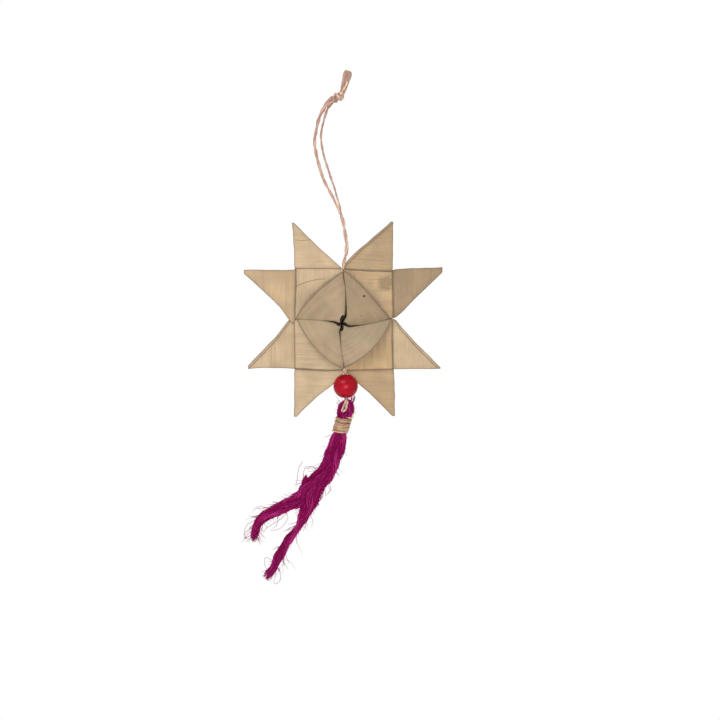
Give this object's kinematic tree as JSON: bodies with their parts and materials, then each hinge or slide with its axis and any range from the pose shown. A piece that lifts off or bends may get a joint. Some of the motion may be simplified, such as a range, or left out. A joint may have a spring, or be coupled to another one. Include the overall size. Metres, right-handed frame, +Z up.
{
  "type": "woven star ornament",
  "caption": "Hanging ornament: a star woven from folded palm-leaf strips with raised cones, on a twine loop, with a bead and a bound fibre tassel below.",
  "frame": {"origin": "the eye of the hanging twine, just under its knot, where a hook or twig holds the ornament", "axes": "+Z up as it hangs, +X to the right seen from the front, -Y towards the viewer in front of the star"},
  "size_m": [0.096, 0.0382, 0.2492],
  "materials": {
    "palm_leaf": "dried palm leaf, fine parallel grain, dull satin",
    "natural_twine": "two-ply plant-fibre twine, hairy, matte",
    "red_paint": "turned wooden bead in glossy red paint",
    "dyed_fibre": "coarse magenta-dyed plant fibre, matte with a slight sheen"
  },
  "bodies": {
    "root": {"leaf_strip_1": "palm_leaf", "leaf_strip_2": "palm_leaf", "leaf_strip_3": "palm_leaf", "leaf_strip_4": "palm_leaf", "hanging_cord_left": "natural_twine", "hanging_cord_right": "natural_twine", "cord_knot": "natural_twine", "bead_cord": "natural_twine", "bead": "red_paint", "tassel": "dyed_fibre", "tassel_binding": "natural_twine"}
  },
  "joints": []
}
